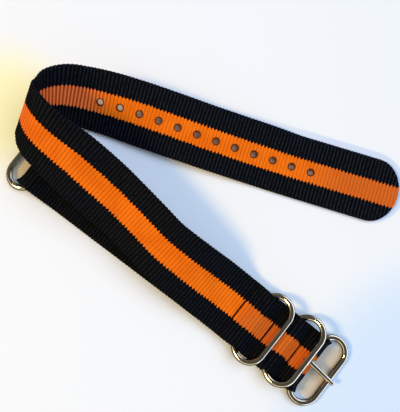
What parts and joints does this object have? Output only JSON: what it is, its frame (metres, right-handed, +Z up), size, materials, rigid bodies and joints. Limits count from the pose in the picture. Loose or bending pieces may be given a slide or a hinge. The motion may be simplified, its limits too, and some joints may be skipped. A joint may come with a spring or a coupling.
{
  "type": "pass-through watch strap",
  "caption": "Ribbed two-colour webbing watch strap with sewn wire keepers, a tongue buckle and an end ring, lying folded over on itself.",
  "frame": {"origin": "on the underside of the short strap, midway along the straight run between the end ring and the first seam", "axes": "+X along the strap towards the buckle, +Y across it towards the side where the tail lies, +Z up from the table"},
  "size_m": [0.1364, 0.088, 0.0284],
  "materials": {
    "webbing": "ribbed nylon webbing, black with one orange stripe",
    "thread": "black sewing thread",
    "steel": "polished steel wire"
  },
  "bodies": {
    "webbing": {"main_strap": "webbing", "short_strap": "webbing", "first_seam_row": "thread", "second_seam_row": "thread", "third_seam_row": "thread", "end_loop_seam": "thread"},
    "buckle": {"buckle_frame": "steel"},
    "tongue": {"buckle_tongue": "steel"},
    "first_keeper": {"keeper_one": "steel"},
    "second_keeper": {"keeper_two": "steel"},
    "ring": {"end_ring": "steel"}
  },
  "joints": [
    {"name": "buckle_turns_in_fold", "type": "hinge", "parent": "webbing", "child": "buckle", "pos_m": [0.065, 0.0008, 0.0026], "axis": [0, -1, 0], "range_deg": [-30, 25]},
    {"name": "tongue_turns_on_bar", "type": "hinge", "parent": "buckle", "child": "tongue", "pos_m": [0.065, 0.00095, 0.0026], "axis": [0, -1, 0], "range_deg": [0, 30]},
    {"name": "keeper_one_turns_in_pocket", "type": "hinge", "parent": "webbing", "child": "first_keeper", "pos_m": [0.0423, 0, 0.0026], "axis": [0, -1, 0], "range_deg": [0, 30]},
    {"name": "keeper_two_turns_in_pocket", "type": "hinge", "parent": "webbing", "child": "second_keeper", "pos_m": [0.0546, 0.0009, 0.0026], "axis": [0, -1, 0], "range_deg": [0, 30]},
    {"name": "end_ring_turns_in_loop", "type": "hinge", "parent": "webbing", "child": "ring", "pos_m": [-0.04404, -0.00312, 0.0026], "axis": [-0.0384, 0.9993, 0], "range_deg": [-30, 8]}
  ]
}
